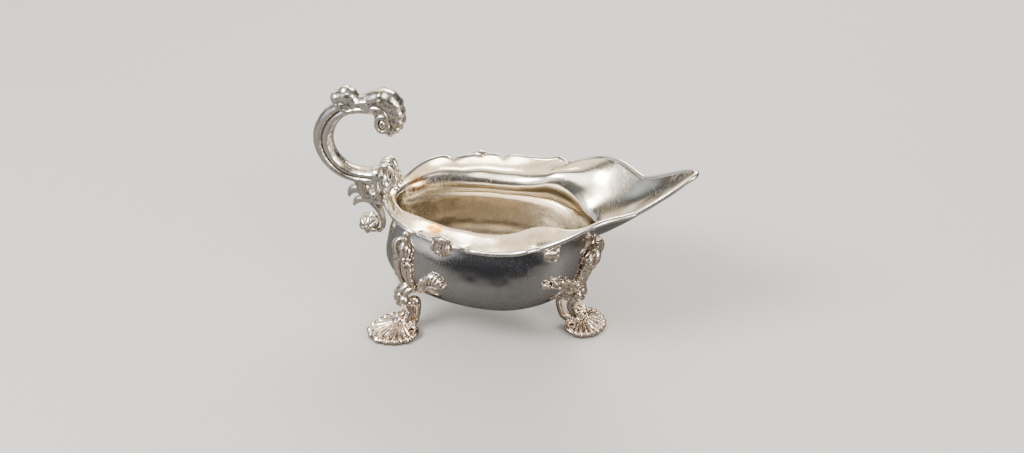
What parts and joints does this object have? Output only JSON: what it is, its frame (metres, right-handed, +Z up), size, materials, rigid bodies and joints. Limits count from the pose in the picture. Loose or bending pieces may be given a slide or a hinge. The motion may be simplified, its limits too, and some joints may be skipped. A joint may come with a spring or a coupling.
{
  "type": "sauce boat",
  "caption": "Silver sauce boat with a wavy spreading edge, raised pouring lip, flying scroll handle and cast shell feet; holds and pours sauce.",
  "frame": {"origin": "on the ground under the middle of the overall length, in the plane of symmetry", "axes": "+X towards the pouring lip, +Y across to the left of someone facing the lip's way, +Z up"},
  "size_m": [0.1966, 0.0924, 0.1314],
  "materials": {
    "raised_silver": "polished sterling silver with fine wear",
    "wire_silver": "polished sterling silver",
    "handle_silver": "cast and chased silver, darkened in the grooves",
    "cast_silver": "cast and chased silver, darkened in the recesses"
  },
  "bodies": {
    "root": {"bowl": "raised_silver", "rim_wire": "wire_silver", "handle_scroll": "handle_silver", "handle_volute": "handle_silver", "handle_knot": "handle_silver", "handle_leaf": "handle_silver", "handle_drop": "handle_silver", "handle_neck": "handle_silver", "handle_thorn_upper": "handle_silver", "handle_thorn_lower": "handle_silver", "handle_rosette": "handle_silver", "leg_front": "cast_silver", "leg_rear_near": "cast_silver", "leg_rear_far": "cast_silver", "leg_scroll_front": "cast_silver", "leg_scroll_rear_near": "cast_silver", "leg_scroll_rear_far": "cast_silver", "foot_front": "cast_silver", "foot_rear_near": "cast_silver", "foot_rear_far": "cast_silver", "knee_front": "cast_silver", "knee_rear_near": "cast_silver", "knee_rear_far": "cast_silver", "wing_front_near": "cast_silver", "wing_front_far": "cast_silver", "wing_rear_near": "cast_silver", "wing_rear_far": "cast_silver", "rim_shell_near": "cast_silver", "rim_shell_far": "cast_silver", "rim_leaf_near": "cast_silver", "rim_leaf_far": "cast_silver", "rim_tab_near": "cast_silver", "rim_tab_far": "cast_silver"}
  },
  "joints": []
}
